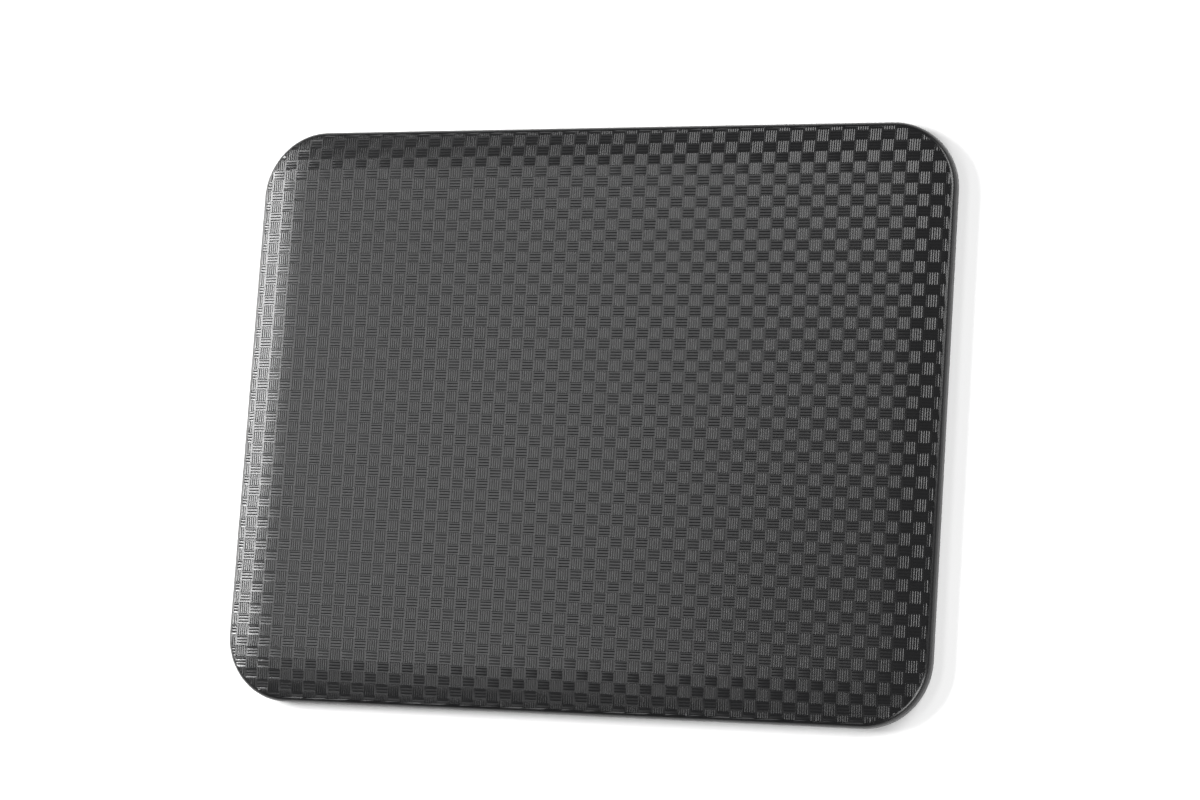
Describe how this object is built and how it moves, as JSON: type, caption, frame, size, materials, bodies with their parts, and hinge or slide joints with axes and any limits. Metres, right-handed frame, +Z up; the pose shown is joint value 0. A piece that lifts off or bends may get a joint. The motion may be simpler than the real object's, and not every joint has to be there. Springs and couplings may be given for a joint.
{
  "type": "door mat",
  "caption": "Cushioned door mat: rounded rectangle with a basket-weave embossed skin over foam, on a studded rubber base.",
  "frame": {"origin": "on the floor under the middle of the mat, at the centre of its bounding box's bottom face", "axes": "+Z up, out of the embossed top; X along the mat's length; Y across its depth"},
  "size_m": [0.61, 0.483, 0.018],
  "materials": {
    "cover_skin": "satin",
    "soft_foam": "matte",
    "firm_foam": "matte",
    "felt": "matte",
    "hot_melt": "satin",
    "base_rubber": "matte"
  },
  "bodies": {
    "root": {"top_cover": "cover_skin", "comfort_foam": "soft_foam", "support_foam": "firm_foam", "stabiliser_sheet": "felt", "bond_film": "hot_melt", "non_slip_base": "base_rubber"}
  },
  "joints": []
}
